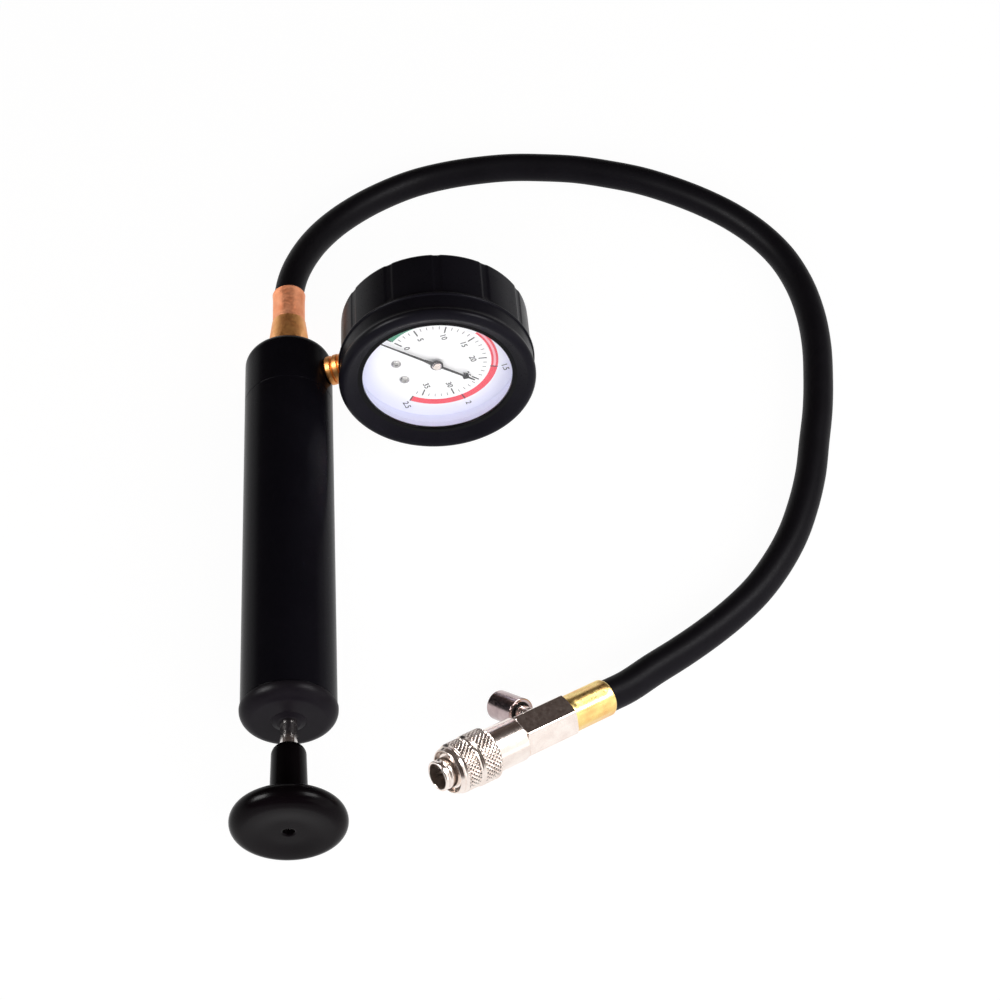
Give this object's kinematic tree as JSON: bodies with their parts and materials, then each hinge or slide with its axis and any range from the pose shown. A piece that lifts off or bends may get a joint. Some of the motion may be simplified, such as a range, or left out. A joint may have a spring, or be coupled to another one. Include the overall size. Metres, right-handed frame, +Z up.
{
  "type": "radiator pressure tester",
  "caption": "Hand pump with a side-mounted booted pressure gauge and a flexible hose ending in a quick coupler with a release valve, for pressure-testing a cooling system.",
  "frame": {"origin": "middle of the floor under the pump and gauge, hose and coupler left out", "axes": "+Y along the pump from its knob to its hose end, +X towards the gauge, +Z up, lying at rest"},
  "size_m": [0.2518, 0.3615, 0.0796],
  "materials": {
    "black_paint": "smooth satin-gloss black enamel",
    "black_plastic": "satin moulded black",
    "nylon": "turned dark nylon",
    "boot_rubber": "satin moulded rubber",
    "hose_rubber": "matte extruded rubber",
    "seal_rubber": "matte",
    "brass": "turned, bright",
    "red_brass": "drawn tube, crimped, warm reflections",
    "nickel": "bright nickel plate",
    "steel": "drawn",
    "aluminium": "turned",
    "case_steel": "black enamel",
    "clear_lens": "clear, polished",
    "dial_white": "printed white enamel",
    "pointer_black": "matte black"
  },
  "bodies": {
    "pump": {"barrel": "black_paint", "pump_head": "black_paint", "head_seal": "seal_rubber", "end_cap": "black_paint", "rod_guide": "nylon", "rod_seal": "seal_rubber", "check_valve_seat": "brass", "check_valve_spring": "steel", "gauge_adapter": "brass", "gauge_socket": "brass", "gauge_case": "case_steel", "gauge_bezel": "black_plastic", "gauge_lens": "clear_lens", "lens_gasket": "seal_rubber", "dial_plate": "dial_white", "dial_screws": "steel", "bourdon_tube": "brass", "movement_plates": "brass", "movement_posts": "brass", "movement_screws": "steel", "hairspring": "steel", "gauge_boot": "boot_rubber", "hose_fitting": "brass", "pump_ferrule": "red_brass", "hose": "hose_rubber", "coupler_ferrule": "brass", "coupler_block": "nickel", "coupler_tube": "nickel", "sleeve_spring": "steel", "locking_balls": "steel", "sleeve_ring": "steel", "socket_seal": "seal_rubber", "release_stem": "nickel", "release_spring": "steel"},
    "plunger": {"piston_rod": "steel", "piston": "aluminium", "piston_cup": "seal_rubber", "piston_nut": "steel", "push_knob": "black_plastic", "knob_screw": "steel"},
    "valve": {"check_valve_poppet": "seal_rubber"},
    "sector": {"sector_gear": "brass"},
    "link_bar": {"link": "brass"},
    "tube_tip": {"bourdon_tip": "brass"},
    "pointer_assembly": {"pinion_arbor": "steel", "pointer": "pointer_black", "pointer_hub": "steel"},
    "sleeve": {"coupler_sleeve": "nickel"},
    "release": {"release_knob": "nickel", "release_pin": "steel"}
  },
  "joints": [
    {"name": "plunger_slide", "type": "slide", "parent": "pump", "child": "plunger", "axis": [0, -0.9999, 0.015], "range_m": [-0.0025, 0.108]},
    {"name": "valve_lift", "type": "slide", "parent": "pump", "child": "valve", "axis": [0, 0.9999, -0.015], "range_m": [0, 0.0015], "stiffness_N_per_m": 60, "springref_m": -0.002, "deforming": ["check_valve_spring"]},
    {"name": "sector_swing", "type": "hinge", "parent": "pump", "child": "sector", "pos_m": [0.02235, 0.08034, 0.02706], "axis": [0, -0.9999, 0.015], "range_deg": [0, 45], "stiffness_Nm_per_rad": 0.004, "springref_deg": -5.73},
    {"name": "pointer_turn", "type": "hinge", "parent": "pump", "child": "pointer_assembly", "pos_m": [0.0214, 0.08053, 0.03962], "axis": [0, -0.9999, 0.015], "range_deg": [-270, 0], "deforming": ["hairspring"]},
    {"name": "link_swing", "type": "hinge", "parent": "sector", "child": "link_bar", "pos_m": [0.02094, 0.07798, 0.02282], "axis": [0, -0.9999, 0.015], "range_deg": [-45, 0]},
    {"name": "tip_stretch", "type": "slide", "parent": "pump", "child": "tube_tip", "axis": [0.9972, 0.0011, 0.0751], "range_m": [0, 0.00345], "deforming": ["bourdon_tube"]},
    {"name": "sleeve_slide", "type": "slide", "parent": "pump", "child": "sleeve", "axis": [0.8147, 0.5352, -0.2233], "range_m": [0, 0.005], "stiffness_N_per_m": 400, "springref_m": -0.003, "deforming": ["sleeve_spring"]},
    {"name": "release_pull", "type": "slide", "parent": "pump", "child": "release", "axis": [-0.5656, 0.6486, -0.5093], "range_m": [0, 0.003], "stiffness_N_per_m": 500, "springref_m": -0.002, "deforming": ["release_spring"]}
  ],
  "couplings": [
    {"joint": "pointer_turn", "follows": "sector_swing", "ratio": -6},
    {"joint": "link_swing", "follows": "sector_swing", "ratio": -1},
    {"joint": "tip_stretch", "follows": "sector_swing", "m_per_rad": 0.0043852}
  ]
}
